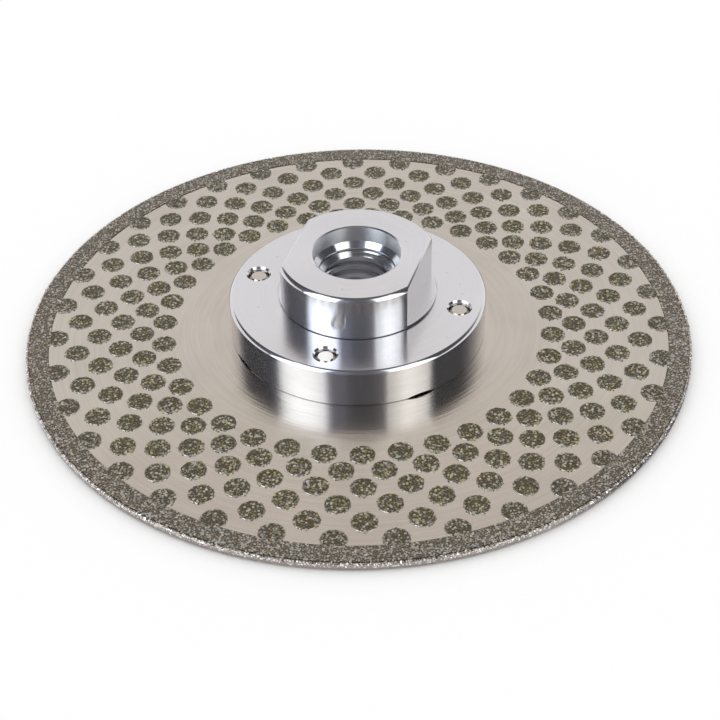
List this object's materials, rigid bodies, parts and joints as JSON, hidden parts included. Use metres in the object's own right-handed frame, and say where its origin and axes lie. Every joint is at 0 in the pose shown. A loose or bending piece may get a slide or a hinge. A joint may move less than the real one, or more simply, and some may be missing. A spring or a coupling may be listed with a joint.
{
  "type": "diamond grinding wheel",
  "caption": "Thin round steel wheel with plated diamond pads on both faces and a diamond rim, screwed to a turned flange with a threaded hub and wrench flats for an angle grinder.",
  "frame": {"origin": "centre of the wheel on the plane of its back coat, on which it lies flat", "axes": "+Z along the spindle axis, from the back coat towards the hub; +X square to a wrench flat"},
  "size_m": [0.125, 0.125, 0.0179],
  "materials": {
    "nickel_plated_steel": "satin nickel plate over fine turning lines",
    "diamond_coat": "diamond grit held in electroplated nickel, rough and sparkling",
    "turned_aluminium": "fine turned, bright sides and satin faces",
    "screw_steel": "nickel plated steel"
  },
  "bodies": {
    "root": {"steel_blank": "nickel_plated_steel", "edge_coat": "diamond_coat", "front_rim_coat": "diamond_coat", "back_rim_coat": "diamond_coat", "threaded_flange": "turned_aluminium", "flange_screws": "screw_steel", "front_pad_ring_1": "diamond_coat", "front_pad_ring_2": "diamond_coat", "front_pad_ring_3": "diamond_coat", "front_pad_ring_4": "diamond_coat", "front_pad_ring_5": "diamond_coat", "back_pad_ring_1": "diamond_coat", "back_pad_ring_2": "diamond_coat", "back_pad_ring_3": "diamond_coat", "back_pad_ring_4": "diamond_coat", "back_pad_ring_5": "diamond_coat"}
  },
  "joints": []
}
